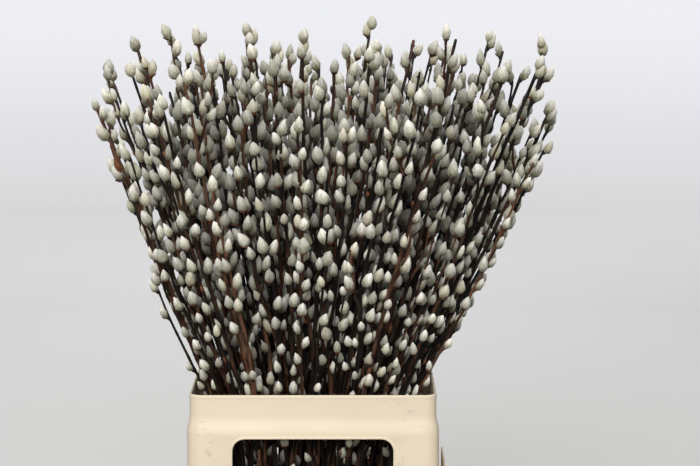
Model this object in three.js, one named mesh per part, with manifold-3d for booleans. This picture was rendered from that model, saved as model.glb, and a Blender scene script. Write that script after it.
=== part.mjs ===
// A market container of cut pussy willow: cut branches standing in a plastic bucket with a collar.
// Millimetres, +Z up. The origin is the centre of the bucket's underside, and the front faces -Y.

import * as THREE from "three";
import { mergeVertices } from "three/addons/utils/BufferGeometryUtils.js";
import Module from "manifold-3d";

const wasm = await Module();
wasm.setup();

// ---- Driving dimensions ----

const WALL = 2.6; // plastic thickness of the collar and the bucket
const GAP = 0.4; // air left between pieces that touch

const COLLAR = {
  width: 280, // outside, at the rim
  depth: 232,
  top: 380, // height of the rim
  stepTop: 348, // where the wall starts to widen
  stepBottom: 339,
  stepOut: 3.2, // how far each wall stands out below the step
  bottom: 150,
  corner: 15, // corner radius seen from above
};

const WINDOW = { width: 182, top: 330, bottom: 218, corner: 14 };

const BUCKET = {
  footWidth: 236,
  footDepth: 188,
  ledgeThick: 4,
  neck: 30, // how far the bucket reaches up inside the collar
};

const HOLDER = { length: 66, bottom: 232, backTop: 296, frontTop: 288, slot: 5.4, plate: 2 };

const BRANCHES = 48;
const SEED = 20;
const FLOOR = WALL + GAP; // where the cut ends stand
const TIP_HEIGHT = 790; // tallest stem
const BASE_SPREAD = { x: 66, y: 54 }; // half extents of the bunch on the bucket's floor
const RIM_SPREAD = { x: 124, y: 100 }; // half extents at the collar's rim
const OPENING = { x: 0.255, y: 0.22 }; // how fast the half extents grow high above the rim
const FLARE = { x: 8, y: 6 }; // what the bend over the rim adds to them
const DRIFT = 0.04; // how far the whole bunch leans to +X above the rim, for each mm of height
const STEM_RADIUS = { base: 4.1, tip: 1.5 };
const SHOOT_RADIUS = { base: 2.7, tip: 1.3 };
const TWIG_RADIUS = { base: 1.7, tip: 1.1 };
const CATKIN = { radius: 6.4, length: 20, sunk: 3 };

const COLOURS = { plastic: 0xecddc4, wood: 0x4a2c20 };

// ---- Solids ----

// A closed three.js geometry as a manifold-3d solid.
function solidFrom(geometry) {
  const bare = geometry.clone();
  bare.deleteAttribute("normal");
  bare.deleteAttribute("uv");
  const merged = mergeVertices(bare, 1e-4);
  const mesh = new wasm.Mesh({
    numProp: 3,
    vertProperties: new Float32Array(merged.attributes.position.array),
    triVerts: new Uint32Array(merged.index.array),
  });
  return new wasm.Manifold(mesh);
}

function geometryFrom(solid) {
  const mesh = solid.getMesh();
  const geometry = new THREE.BufferGeometry();
  geometry.setAttribute("position", new THREE.BufferAttribute(mesh.vertProperties, 3));
  geometry.setIndex(new THREE.BufferAttribute(mesh.triVerts, 1));
  geometry.computeVertexNormals();
  return geometry;
}

function roundedRectangle(width, depth, corner) {
  const x = width / 2;
  const y = depth / 2;
  const shape = new THREE.Shape();
  shape.moveTo(-x + corner, -y);
  shape.lineTo(x - corner, -y);
  shape.absarc(x - corner, -y + corner, corner, -Math.PI / 2, 0);
  shape.lineTo(x, y - corner);
  shape.absarc(x - corner, y - corner, corner, 0, Math.PI / 2);
  shape.lineTo(-x + corner, y);
  shape.absarc(-x + corner, y - corner, corner, Math.PI / 2, Math.PI);
  shape.lineTo(-x, -y + corner);
  shape.absarc(-x + corner, -y + corner, corner, Math.PI, Math.PI * 1.5);
  return shape;
}

// A solid block with rounded corners from one height to another. grow is how far each wall has moved
// out by the lower end.
function taperedBlock(width, depth, corner, bottom, top, grow) {
  const height = top - bottom;
  const geometry = new THREE.ExtrudeGeometry(roundedRectangle(width, depth, corner), {
    depth: height,
    bevelEnabled: false,
    curveSegments: 5,
  });
  const at = geometry.attributes.position;
  for (let i = 0; i < at.count; i += 1) {
    const out = grow * (1 - at.getZ(i) / height);
    at.setX(i, at.getX(i) * (1 + (2 * out) / width));
    at.setY(i, at.getY(i) * (1 + (2 * out) / depth));
    at.setZ(i, at.getZ(i) + bottom);
  }
  return solidFrom(geometry);
}

// ---- The container ----

// The collar's outline moved in by inset, and longer by extra at the rim and at the bottom.
function collarBlock(inset, extra) {
  const width = COLLAR.width - 2 * inset;
  const depth = COLLAR.depth - 2 * inset;
  const corner = COLLAR.corner - inset;
  const wide = 2 * COLLAR.stepOut;
  const band = taperedBlock(width, depth, corner, COLLAR.stepTop, COLLAR.top + extra, 0);
  const step = taperedBlock(width, depth, corner, COLLAR.stepBottom, COLLAR.stepTop, COLLAR.stepOut);
  const skirt = taperedBlock(
    width + wide, depth + wide, corner + COLLAR.stepOut, COLLAR.bottom - extra, COLLAR.stepBottom, 0,
  );
  return band.add(step).add(skirt);
}

// The window through the front wall and the back wall.
function windowBlock() {
  const height = WINDOW.top - WINDOW.bottom;
  const geometry = new THREE.ExtrudeGeometry(
    roundedRectangle(WINDOW.width, height, WINDOW.corner),
    { depth: COLLAR.depth * 2, bevelEnabled: false, curveSegments: 5 },
  );
  geometry.translate(0, 0, -COLLAR.depth);
  geometry.rotateX(Math.PI / 2);
  geometry.translate(0, 0, (WINDOW.top + WINDOW.bottom) / 2);
  return solidFrom(geometry);
}

function makeCollar() {
  const outside = collarBlock(0, 0);
  const inside = collarBlock(WALL, WALL);
  return outside.subtract(inside).subtract(windowBlock());
}

// The bucket narrows to its foot. Its neck stands inside the collar, whose edge rests on the ledge.
function makeBucket() {
  const neckOut = COLLAR.stepOut - WALL - GAP;
  const neckWidth = COLLAR.width + 2 * neckOut;
  const neckDepth = COLLAR.depth + 2 * neckOut;
  const corner = COLLAR.corner + neckOut;
  const ledgeTop = COLLAR.bottom - GAP;
  const neckTop = COLLAR.bottom + BUCKET.neck;
  const footOut = (BUCKET.footWidth - neckWidth) / 2;
  const outside = taperedBlock(neckWidth, neckDepth, corner, 0, neckTop, footOut);
  const inside = taperedBlock(
    neckWidth - 2 * WALL, neckDepth - 2 * WALL, corner - WALL, WALL, neckTop + WALL, footOut,
  );
  const ledge = taperedBlock(
    COLLAR.width + 2 * COLLAR.stepOut, COLLAR.depth + 2 * COLLAR.stepOut,
    COLLAR.corner + COLLAR.stepOut, ledgeTop - BUCKET.ledgeThick, ledgeTop, 0,
  );
  return outside.add(ledge).subtract(inside);
}

// A pocket for the auction letter on the right wall: a back plate, a floor and a lower front plate.
function makeHolder() {
  const wallFace = COLLAR.width / 2 + COLLAR.stepOut + GAP;
  const back = HOLDER.plate;
  const front = back + HOLDER.slot + HOLDER.plate;
  const profile = new THREE.Shape();
  profile.moveTo(0, HOLDER.bottom);
  profile.lineTo(front, HOLDER.bottom);
  profile.lineTo(front, HOLDER.frontTop);
  profile.lineTo(front - HOLDER.plate, HOLDER.frontTop);
  profile.lineTo(front - HOLDER.plate, HOLDER.bottom + HOLDER.plate);
  profile.lineTo(back, HOLDER.bottom + HOLDER.plate);
  profile.lineTo(back, HOLDER.backTop);
  profile.lineTo(0, HOLDER.backTop);
  const geometry = new THREE.ExtrudeGeometry(profile, { depth: HOLDER.length, bevelEnabled: false });
  geometry.rotateX(Math.PI / 2);
  geometry.translate(wallFace, HOLDER.length / 2, 0);
  return solidFrom(geometry);
}

// ---- How the branches stand ----

const GOLDEN_ANGLE = Math.PI * (3 - Math.sqrt(5));
const SQUARENESS = 4; // exponent of the bunch's outline seen from above: 2 is an ellipse
const OUTLINE_AREA = 3.7; // area of that outline for half extents of 1
const RISE = TIP_HEIGHT - COLLAR.top;
const BEND = 16; // half the height over which a branch turns outward at the rim
const FLARE_HEIGHT = 60; // height in which most of the flare happens
const LEVELS = [180, 350, 388, 420, 470, 540, 630]; // heights of the rings along a stalk
const LEAST_STEP = 24;

const TIP_DROPS = { outer: 50, irregular: 50 }; // how far a stem's tip is below the tallest
const SWAY = { least: 4, most: 10 }; // how far a stem's tip strays from its line
const FEW_LEAN = 3; // the higher, the fewer branches lean far out
const LEAN = { least: 2, most: 56 }; // how far the outermost tips lean out, few of them by the most
const OUTERMOST = 0.8; // share of the bunch's radius where that starts
const WAVE = { size: 1.7, x: 47, y: 53 }; // the small waves along a stem
const FORKS = [{ least: 236, most: 386 }, { least: 300, most: 430 }];
const SHOOT_DROPS = [{ least: 10, most: 70 }, { least: 20, most: 150 }];
const SHOOT_REACH = 0.46; // how far a shoot stands from its stem, as a share of the spacing
const FORK_HEIGHT = 100; // height in which it gets there
const SHOOT_CLEAR = 6.5;
const RIM_INSIDE = { x: 131.5, y: 107.5 }; // how far out a shoot's middle may be at the rim
const TWIG_DROP = { least: 70, most: 180 }; // where a twig starts below its parent's tip
const TWIG_LENGTH = { least: 62, most: 118 };
const TWIG_REACH = 0.34; // how far it stands out, as a share of its length
const TWIG_STEPS = 8;
const TWIG_CLEAR = 9;
const TURNS = 16; // how many directions are tried for a shoot or a twig
const BETTER = 0.01; // how much more room makes a direction the better one
const PROBE = 9; // distance between the points that stand for a stalk when room is measured
const LOWEST_PROBE = 230;

// The same numbers for the same seed, each from 0 to 1.
function randomFrom(seed) {
  let state = 7919 * seed + 104729;
  const draw = () => {
    state = (state * 48271) % 2147483647;
    return state / 2147483647;
  };
  draw();
  draw();
  return draw;
}

function between(range, share) {
  return range.least + (range.most - range.least) * share;
}

// What the bunch gains above the rim along one axis. It starts smoothly, just below the rim.
function openingAt(axis, z) {
  const above = BEND * Math.log(1 + Math.exp((z - COLLAR.top) / BEND));
  return OPENING[axis] * above + FLARE[axis] * (1 - Math.exp(-above / FLARE_HEIGHT));
}

// Half the bunch's extent along one axis at a height.
function spreadAt(axis, z) {
  const inside = RIM_SPREAD[axis] - BASE_SPREAD[axis] - openingAt(axis, COLLAR.top);
  return BASE_SPREAD[axis] + (inside * (z - FLOOR)) / (COLLAR.top - FLOOR) + openingAt(axis, z);
}

// The mean distance between neighbouring branches at a height.
function spacingAt(z) {
  return Math.sqrt((OUTLINE_AREA * spreadAt("x", z) * spreadAt("y", z)) / BRANCHES);
}

function smooth(t) {
  const s = Math.min(1, Math.max(0, t));
  return s * s * (3 - 2 * s);
}

// Everything that sets branch number k: its place in the bunch, its height, its sway and its forks.
function branchPlan(k) {
  const random = randomFrom(SEED * 1000 + k);
  const radius = Math.sqrt((k + 0.5) / BRANCHES);
  const turn = k * GOLDEN_ANGLE;
  const c = Math.cos(turn);
  const s = Math.sin(turn);
  const fill = radius / (Math.abs(c) ** SQUARENESS + Math.abs(s) ** SQUARENESS) ** (1 / SQUARENESS);
  const outer = smooth((radius - OUTERMOST) / (1 - OUTERMOST));
  return {
    across: c * fill,
    along: s * fill,
    tip: TIP_HEIGHT - TIP_DROPS.outer * radius ** 3 - TIP_DROPS.irregular * random(),
    swayTurn: 2 * Math.PI * random(),
    sway: between(SWAY, random()),
    lean: outer * between(LEAN, random() ** FEW_LEAN),
    outward: [c, s],
    waves: [2 * Math.PI * random(), 2 * Math.PI * random()],
    forks: FORKS.map((range) => between(range, random())),
    shootDrops: SHOOT_DROPS.map((range) => between(range, random())),
    twigStarts: [random(), random(), random()],
    twigLengths: [random(), random(), random()],
  };
}

function stemPoint(plan, z) {
  const t = Math.max(0, (z - COLLAR.top) / RISE);
  const wave = WAVE.size * smooth(z / COLLAR.top);
  const out = plan.lean * t * t;
  const sway = plan.sway * t * t;
  return new THREE.Vector3(
    plan.across * spreadAt("x", z) + DRIFT * RISE * t + out * plan.outward[0]
      + sway * Math.cos(plan.swayTurn) + wave * Math.sin(z / WAVE.x + plan.waves[0]),
    plan.along * spreadAt("y", z) + out * plan.outward[1] + sway * Math.sin(plan.swayTurn)
      + wave * Math.sin(z / WAVE.y + plan.waves[1]),
    z,
  );
}

// A side shoot leaves the stem at a fork and stands beside it.
function shootPoint(plan, fork, turn, z) {
  const point = stemPoint(plan, z);
  const aside = SHOOT_REACH * spacingAt(z) * smooth((z - fork) / FORK_HEIGHT);
  point.x += aside * Math.cos(turn);
  point.y += aside * Math.sin(turn);
  return point;
}

// A path is a list of points from its root to its tip, here at even steps.
function pathOf(pointAt, from, to, steps) {
  return Array.from({ length: steps + 1 }, (_, i) => pointAt(from + ((to - from) * i) / steps));
}

// The same, with its points at the levels between its ends, which are closest where branches bend.
function pathAtLevels(pointAt, from, to) {
  const between = LEVELS.filter((z) => z > from + LEAST_STEP && z < to - LEAST_STEP);
  return [from, ...between, to].map(pointAt);
}

function pointOnPath(path, z) {
  const next = path.findIndex((point) => point.z > z);
  const [a, b] = [path[next - 1], path[next]];
  return a.clone().lerp(b, (z - a.z) / (b.z - a.z));
}

// The points that stand for a stalk, from where branches first fork.
function probePoints(pointAt, from, to) {
  const start = Math.max(from, LOWEST_PROBE);
  return pathOf(pointAt, start, to, Math.ceil((to - start) / PROBE));
}

function clearance(path, others) {
  let least = Infinity;
  for (const point of path) {
    for (const other of others) {
      least = Math.min(least, point.distanceTo(other));
    }
  }
  return least;
}

// The first direction with the most room, or null if none has enough. pathFor gives the points to test
// for a direction, or null where it can't go that way.
function roomiest(firstTurn, pathFor, others, enough) {
  let best = null;
  let room = enough;
  for (let i = 0; i < TURNS; i += 1) {
    const turn = firstTurn + (2 * Math.PI * i) / TURNS;
    const path = pathFor(turn);
    const found = path ? clearance(path, others) : 0;
    if (found > room + BETTER) {
      room = found;
      best = turn;
    }
  }
  return best;
}

function insideRim(point) {
  return Math.abs(point.x) < RIM_INSIDE.x && Math.abs(point.y) < RIM_INSIDE.y;
}

function placeShoot(branch, i, others) {
  const fork = branch.plan.forks[i];
  const to = branch.plan.tip - branch.plan.shootDrops[i];
  const lineFor = (turn) => (z) => shootPoint(branch.plan, fork, turn, z);
  const turn = roomiest(i * Math.PI, (way) => {
    const at = lineFor(way);
    return insideRim(at(COLLAR.top)) ? probePoints(at, fork + FORK_HEIGHT, to) : null;
  }, others, SHOOT_CLEAR);
  return turn === null ? null : { at: lineFor(turn), from: fork, to };
}

function twigPath(start, length, turn) {
  const reach = length * TWIG_REACH;
  const rise = length * Math.sqrt(1 - TWIG_REACH * TWIG_REACH);
  return pathOf((t) => new THREE.Vector3(
    start.x + reach * Math.sin((t * Math.PI) / 2) * Math.cos(turn),
    start.y + reach * Math.sin((t * Math.PI) / 2) * Math.sin(turn),
    start.z + rise * t,
  ), 0, 1, TWIG_STEPS);
}

function placeTwig(start, length, firstTurn, others) {
  const pathFor = (turn) => twigPath(start, length, turn);
  const turn = roomiest(firstTurn, (way) => pathFor(way).slice(2), others, TWIG_CLEAR);
  return turn === null ? null : pathFor(turn);
}

// All branches: for each its plan, its stem, and the shoots and twigs that found room.
function growBranches() {
  const branches = Array.from({ length: BRANCHES }, (_, k) => {
    const plan = branchPlan(k);
    const stem = { at: (z) => stemPoint(plan, z), from: FLOOR, to: plan.tip };
    return { plan, stem, shoots: [], twigs: [] };
  });
  const probesOf = (line) => ({ line, points: probePoints(line.at, line.from, line.to) });
  const lines = branches.map(({ stem }) => probesOf(stem));
  const allBut = (own) => lines.filter(({ line }) => line !== own).flatMap(({ points }) => points);
  [0, 1].forEach((i) => branches.forEach((branch) => {
    const shoot = placeShoot(branch, i, allBut(null));
    if (shoot) {
      branch.shoots.push(shoot);
      lines.push(probesOf(shoot));
    }
  }));
  branches.forEach((branch, k) => {
    [branch.stem, ...branch.shoots].forEach((parent, i) => {
      const { twigStarts, twigLengths } = branch.plan;
      const height = parent.to - between(TWIG_DROP, twigStarts[i]);
      const length = between(TWIG_LENGTH, twigLengths[i]);
      const path = placeTwig(parent.at(height), length, k * GOLDEN_ANGLE, allBut(parent));
      if (path) {
        branch.twigs.push(path);
        lines.push({ line: path, points: path });
      }
    });
  });
  return branches;
}

// ---- The branches' solids ----

// A tapering stalk with level rings, one at each point of its path.
function stalk(path, radius, sides) {
  const steps = path.length - 1;
  const geometry = new THREE.CylinderGeometry(1, 1, 1, sides, steps);
  const at = geometry.attributes.position;
  for (let i = 0; i < at.count; i += 1) {
    const t = at.getY(i) + 0.5;
    const centre = path[Math.round(t * steps)];
    const wide = THREE.MathUtils.lerp(radius.base, radius.tip, t);
    at.setXYZ(i, centre.x + at.getZ(i) * wide, centre.y + at.getX(i) * wide, centre.z);
  }
  return solidFrom(geometry);
}

// The catkin at a path's tip, as a plain pointed solid that carries on the way the path ends.
function tipCatkin(path) {
  const tip = path[path.length - 1];
  const way = tip.clone().sub(path[path.length - 2]).normalize();
  const geometry = new THREE.SphereGeometry(1, 4, 2);
  geometry.scale(CATKIN.radius, CATKIN.length / 2, CATKIN.radius);
  geometry.applyQuaternion(new THREE.Quaternion().setFromUnitVectors(new THREE.Vector3(0, 1, 0), way));
  const centre = tip.clone().addScaledVector(way, CATKIN.length / 2 - CATKIN.sunk);
  geometry.translate(centre.x, centre.y, centre.z);
  return solidFrom(geometry);
}

function makeBranch({ stem, shoots, twigs }) {
  const stemPath = pathAtLevels(stem.at, stem.from, stem.to);
  const stalks = [stalk(stemPath, STEM_RADIUS, 4)];
  const tips = [tipCatkin(stemPath)];
  shoots.forEach((shoot) => {
    const path = pathAtLevels(shoot.at, shoot.from, shoot.to);
    path[0] = pointOnPath(stemPath, shoot.from);
    stalks.push(stalk(path, SHOOT_RADIUS, 3));
    tips.push(tipCatkin(path));
  });
  twigs.forEach((twig) => {
    const path = [twig[0], twig[TWIG_STEPS / 2], twig[TWIG_STEPS]];
    stalks.push(stalk(path, TWIG_RADIUS, 3));
    tips.push(tipCatkin(path));
  });
  return [...stalks, ...tips].reduce((whole, piece) => whole.add(piece));
}

// ---- The scene graph ----

const plastic = new THREE.MeshStandardMaterial({ color: COLOURS.plastic, roughness: 0.55, metalness: 0 });
const wood = new THREE.MeshStandardMaterial({ color: COLOURS.wood, roughness: 0.5, metalness: 0 });

const group = new THREE.Group();

function addPiece(name, solid, material) {
  const mesh = new THREE.Mesh(geometryFrom(solid), material);
  mesh.name = name;
  group.add(mesh);
}

addPiece("bucket", makeBucket(), plastic);
addPiece("collar", makeCollar(), plastic);
addPiece("letter_holder", makeHolder(), plastic);
growBranches().forEach((branch, k) => {
  addPiece(`branch_${String(k + 1).padStart(2, "0")}`, makeBranch(branch), wood);
});

export default group;
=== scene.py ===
"""Cut pussy willow branches standing in a cream plastic bucket with a windowed collar.

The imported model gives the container's size and place. The branches stand where the model's own layout
puts them, so that layout is repeated here in millimetres, and each branch gets its bark, catkins and
bud scales as fine meshes. Everything else is in metres.
"""

import math
from types import SimpleNamespace

import bmesh
import bpy
import numpy as np
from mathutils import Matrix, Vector
from mathutils.kdtree import KDTree


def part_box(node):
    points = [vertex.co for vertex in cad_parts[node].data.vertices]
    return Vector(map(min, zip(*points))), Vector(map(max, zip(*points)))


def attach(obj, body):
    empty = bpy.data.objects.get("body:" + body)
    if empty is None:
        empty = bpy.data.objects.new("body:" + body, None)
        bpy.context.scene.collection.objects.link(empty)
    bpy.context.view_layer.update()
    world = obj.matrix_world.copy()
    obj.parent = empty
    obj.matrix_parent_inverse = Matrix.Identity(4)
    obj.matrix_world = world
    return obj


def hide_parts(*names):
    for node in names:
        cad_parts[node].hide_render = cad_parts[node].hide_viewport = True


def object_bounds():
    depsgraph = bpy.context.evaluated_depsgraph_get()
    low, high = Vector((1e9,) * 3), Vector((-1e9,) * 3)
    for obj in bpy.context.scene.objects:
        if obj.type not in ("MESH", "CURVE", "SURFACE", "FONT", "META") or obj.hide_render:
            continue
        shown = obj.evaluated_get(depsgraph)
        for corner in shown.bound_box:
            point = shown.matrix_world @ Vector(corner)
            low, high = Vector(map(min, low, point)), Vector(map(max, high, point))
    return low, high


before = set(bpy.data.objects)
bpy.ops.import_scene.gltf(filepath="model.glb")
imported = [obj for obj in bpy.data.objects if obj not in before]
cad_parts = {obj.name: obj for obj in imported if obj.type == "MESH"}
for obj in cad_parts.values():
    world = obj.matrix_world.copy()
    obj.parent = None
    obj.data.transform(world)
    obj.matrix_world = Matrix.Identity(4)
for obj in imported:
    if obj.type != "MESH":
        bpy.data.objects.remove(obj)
CAD_LOW, CAD_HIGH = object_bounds()

MM = 0.001
COLLAR_LOW, COLLAR_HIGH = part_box("collar")
BUCKET_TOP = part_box("bucket")[1].z
HOLDER_LOW, HOLDER_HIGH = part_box("letter_holder")

# ---- Camera ----

EYE_ABOVE_RIM = 0.50
EYE_TO_RIM = 2.50
EYE_ASIDE = 0.042
LOOK_DOWN = math.radians(7.19)
LENS = 116.0
SENSOR_WIDTH = 36


def new_object(name, data):
    made = bpy.data.objects.new(name, data)
    bpy.context.scene.collection.objects.link(made)
    return made


def make_camera():
    data = bpy.data.cameras.new("camera")
    data.lens = LENS
    data.sensor_width = SENSOR_WIDTH
    camera = new_object("camera", data)
    rim_front = COLLAR_LOW.y + STEP_OUT * MM
    camera.location = (EYE_ASIDE, rim_front - EYE_TO_RIM, COLLAR_HIGH.z + EYE_ABOVE_RIM)
    camera.rotation_euler = (math.pi / 2 - LOOK_DOWN, 0, 0)
    bpy.context.scene.camera = camera


# ---- Layout of the branches, in millimetres ----

WALL = 2.6
GAP = 0.4
STEP_OUT = 3.2
RIM = COLLAR_HIGH.z / MM
BRANCHES = sum(name.startswith("branch_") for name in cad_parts)
SEED = 20
FLOOR = WALL + GAP
TIP_HEIGHT = 790
BASE_SPREAD = (66, 54)
RIM_SPREAD = (124, 100)
OPENING = (0.255, 0.22)
FLARE = (8, 6)
DRIFT = 0.04
GOLDEN_ANGLE = math.pi * (3 - math.sqrt(5))
SQUARENESS = 4
OUTLINE_AREA = 3.7
RISE = TIP_HEIGHT - RIM
BEND = 16
FLARE_HEIGHT = 60
TIP_DROP_OUTER = 50
TIP_DROP_IRREGULAR = 50
SWAY = (4, 10)
LEAN = (2, 56)
FEW_LEAN = 3
OUTERMOST = 0.8
WAVE = 1.7
WAVE_LENGTHS = (47, 53)
RADII = {"stem": (4.1, 1.5), "shoot": (2.7, 1.3), "filler": (1.9, 1.05), "twig": (1.7, 1.1)}  # root and tip
FORKS = ((236, 386), (300, 430))
SHOOT_DROPS = ((10, 70), (20, 150))
SHOOT_REACH = 0.46
FORK_HEIGHT = 100
CLEAR = {"shoot": 6.5, "filler": 4.4, "twig": 9}  # least distance to another stalk
RIM_INSIDE = (131.5, 107.5)
TWIG_DROP = (70, 180)
TWIG_LENGTH = (62, 118)
TWIG_REACH = 0.34
TWIG_STEPS = 8
TURNS = 16
BETTER = 0.01
PROBE = 9
LOWEST_PROBE = 230

# The thinner shoots between the branches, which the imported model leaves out.
# The last round is short, and fills the bunch's neck.
FILLER_FORKS = ((185, 330), (185, 330), (180, 240))
FILLER_DROPS = ((0, 230), (0, 230), (310, 390))
FILLER_STREAM = 77
FILLER_REACH = (0.3, 0.8)
CATKIN_ROOM = 12


def in_range(ends, share):
    return ends[0] + (ends[1] - ends[0]) * share


def draws(seed):
    """The same run of numbers for the same seed, each from 0 to 1."""
    state = 7919 * seed + 104729
    state = state * 48271 * 48271 % 2147483647
    while True:
        state = state * 48271 % 2147483647
        yield state / 2147483647


def unit(vector):
    return vector / np.linalg.norm(vector)


def turns_round(count):
    """Angles at even steps round a circle."""
    return np.arange(count) * 2 * math.pi / count


def smooth(t):
    s = np.clip(t, 0, 1)
    return s * s * (3 - 2 * s)


def rise(value, low, high):
    """0 up to low and 1 from high on, with a soft curve between."""
    return float(smooth((value - low) / (high - low)))


def opening_at(axis, z):
    """What the bunch gains above the rim along one axis."""
    above = BEND * np.log1p(np.exp((z - RIM) / BEND))
    return OPENING[axis] * above + FLARE[axis] * (1 - np.exp(-above / FLARE_HEIGHT))


def spread_at(axis, z):
    """Half the bunch's extent along one axis at a height."""
    inside = RIM_SPREAD[axis] - BASE_SPREAD[axis] - opening_at(axis, RIM)
    return BASE_SPREAD[axis] + inside * (z - FLOOR) / (RIM - FLOOR) + opening_at(axis, z)


def spacing_at(z):
    """The mean distance between neighbouring branches at a height."""
    return np.sqrt(OUTLINE_AREA * spread_at(0, z) * spread_at(1, z) / BRANCHES)


def branch_plan(k):
    """Everything that sets branch number k: its place in the bunch, its height, its sway and its forks."""
    run = draws(SEED * 1000 + k)
    radius = math.sqrt((k + 0.5) / BRANCHES)
    c = math.cos(k * GOLDEN_ANGLE)
    s = math.sin(k * GOLDEN_ANGLE)
    fill = radius / (abs(c) ** SQUARENESS + abs(s) ** SQUARENESS) ** (1 / SQUARENESS)
    return SimpleNamespace(
        number=k,
        across=c * fill,
        along=s * fill,
        outward=(c, s),
        tip=TIP_HEIGHT - TIP_DROP_OUTER * radius**3 - TIP_DROP_IRREGULAR * next(run),
        sway_turn=2 * math.pi * next(run),
        sway=in_range(SWAY, next(run)),
        lean=rise(radius, OUTERMOST, 1) * in_range(LEAN, next(run) ** FEW_LEAN),
        waves=(2 * math.pi * next(run), 2 * math.pi * next(run)),
        forks=[in_range(ends, next(run)) for ends in FORKS],
        shoot_drops=[in_range(ends, next(run)) for ends in SHOOT_DROPS],
        twig_starts=[next(run) for _ in range(3)],
        twig_lengths=[next(run) for _ in range(3)],
    )


def stem_points(plan, z):
    t = np.maximum(0, (z - RIM) / RISE)
    wave = WAVE * smooth(z / RIM)
    out = plan.lean * t * t
    sway = plan.sway * t * t
    x = plan.across * spread_at(0, z) + DRIFT * RISE * t + out * plan.outward[0]
    y = plan.along * spread_at(1, z) + out * plan.outward[1]
    x = x + sway * math.cos(plan.sway_turn) + wave * np.sin(z / WAVE_LENGTHS[0] + plan.waves[0])
    y = y + sway * math.sin(plan.sway_turn) + wave * np.sin(z / WAVE_LENGTHS[1] + plan.waves[1])
    return np.stack([x, y, z], axis=-1)


def shoot_points(plan, fork, turn, reach, z):
    """A side shoot leaves the stem at a fork and stands beside it."""
    points = stem_points(plan, z)
    aside = reach * spacing_at(z) * smooth((z - fork) / FORK_HEIGHT)
    points[..., 0] += aside * math.cos(turn)
    points[..., 1] += aside * math.sin(turn)
    return points


def twig_points(start, length, turn, t):
    reach = length * TWIG_REACH * np.sin(t * math.pi / 2)
    rise = length * math.sqrt(1 - TWIG_REACH**2) * t
    return start + np.stack([reach * math.cos(turn), reach * math.sin(turn), rise], axis=-1)


def even_heights(low, high, step):
    return np.linspace(low, high, math.ceil((high - low) / step) + 1)


def probe_points(points_at, low, high):
    """The points that stand for a stalk, from where branches first fork."""
    return points_at(even_heights(max(low, LOWEST_PROBE), high, PROBE))


def tree_of(points):
    tree = KDTree(len(points))
    for index, point in enumerate(points):
        tree.insert(point, index)
    tree.balance()
    return tree


def clearance(path, tree):
    return min((tree.find(point)[2] for point in path), default=math.inf)


def roomiest(first_turn, path_for, others, enough):
    """The first direction with the most room, or None if none has enough."""
    tree = tree_of(others)
    best = None
    room = enough
    for i in range(TURNS):
        turn = first_turn + 2 * math.pi * i / TURNS
        path = path_for(turn)
        found = 0 if path is None else clearance(path, tree)
        if found > room + BETTER:
            room = found
            best = turn
    return best


def stalk(kind, plan, points_at, low, high):
    """One stem, shoot, filler or twig. points_at gives its middle for any values from low to high."""
    return SimpleNamespace(kind=kind, plan=plan, points_at=points_at, low=low, high=high)


def inside_cad_box(point):
    """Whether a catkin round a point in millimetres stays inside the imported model's sides."""
    low = np.array(CAD_LOW[:2]) / MM + CATKIN_ROOM
    high = np.array(CAD_HIGH[:2]) / MM - CATKIN_ROOM
    return bool(np.all(point[:2] > low) and np.all(point[:2] < high))


def place_shoot(kind, plan, fork, high, reach, first_turn, others):
    """A long shoot beside its stem, or None where it would touch another."""

    def path_for(turn):
        at_rim = shoot_points(plan, fork, turn, reach, np.array(RIM))
        if abs(at_rim[0]) >= RIM_INSIDE[0] or abs(at_rim[1]) >= RIM_INSIDE[1]:
            return None
        if kind == "filler" and not inside_cad_box(shoot_points(plan, fork, turn, reach, np.array(high))):
            return None
        return probe_points(lambda z: shoot_points(plan, fork, turn, reach, z), fork + FORK_HEIGHT, high)

    turn = roomiest(first_turn, path_for, others, CLEAR[kind])
    if turn is None:
        return None
    return stalk(kind, plan, lambda z: shoot_points(plan, fork, turn, reach, z), fork, high)


def place_twig(parent, start, length, first_turn, others):
    """A twig that stands out from its parent, or None where no way has enough room."""
    steps = np.linspace(0, 1, TWIG_STEPS + 1)
    turn = roomiest(
        first_turn, lambda way: twig_points(start, length, way, steps)[2:], others, CLEAR["twig"],
    )
    if turn is None:
        return None
    return stalk("twig", parent.plan, lambda t: twig_points(start, length, turn, t), 0.0, 1.0)


def grow_stalks():
    """All stalks of the bunch, in the order in which they look for room."""
    stalks = []
    probes = []

    def add(item):
        if item is None:
            return
        stalks.append(item)
        if item.kind == "twig":
            probes.append(item.points_at(np.linspace(0, 1, TWIG_STEPS + 1)))
        else:
            probes.append(probe_points(item.points_at, item.low, item.high))

    def all_but(own):
        return np.concatenate([points for item, points in zip(stalks, probes) if item is not own])

    plans = [branch_plan(k) for k in range(BRANCHES)]
    for plan in plans:
        add(stalk("stem", plan, lambda z, plan=plan: stem_points(plan, z), FLOOR, plan.tip))
    for i in range(len(FORKS)):
        for plan in plans:
            high = plan.tip - plan.shoot_drops[i]
            add(place_shoot("shoot", plan, plan.forks[i], high, SHOOT_REACH, i * math.pi, all_but(None)))
    for plan in plans:
        for i, parent in enumerate([item for item in stalks if item.plan is plan and item.kind != "twig"]):
            start = parent.points_at(np.array(parent.high - in_range(TWIG_DROP, plan.twig_starts[i])))
            length = in_range(TWIG_LENGTH, plan.twig_lengths[i])
            first_turn = plan.number * GOLDEN_ANGLE
            add(place_twig(parent, start, length, first_turn, all_but(parent)))
    grow_fillers(plans, add, all_but)
    return stalks


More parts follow.
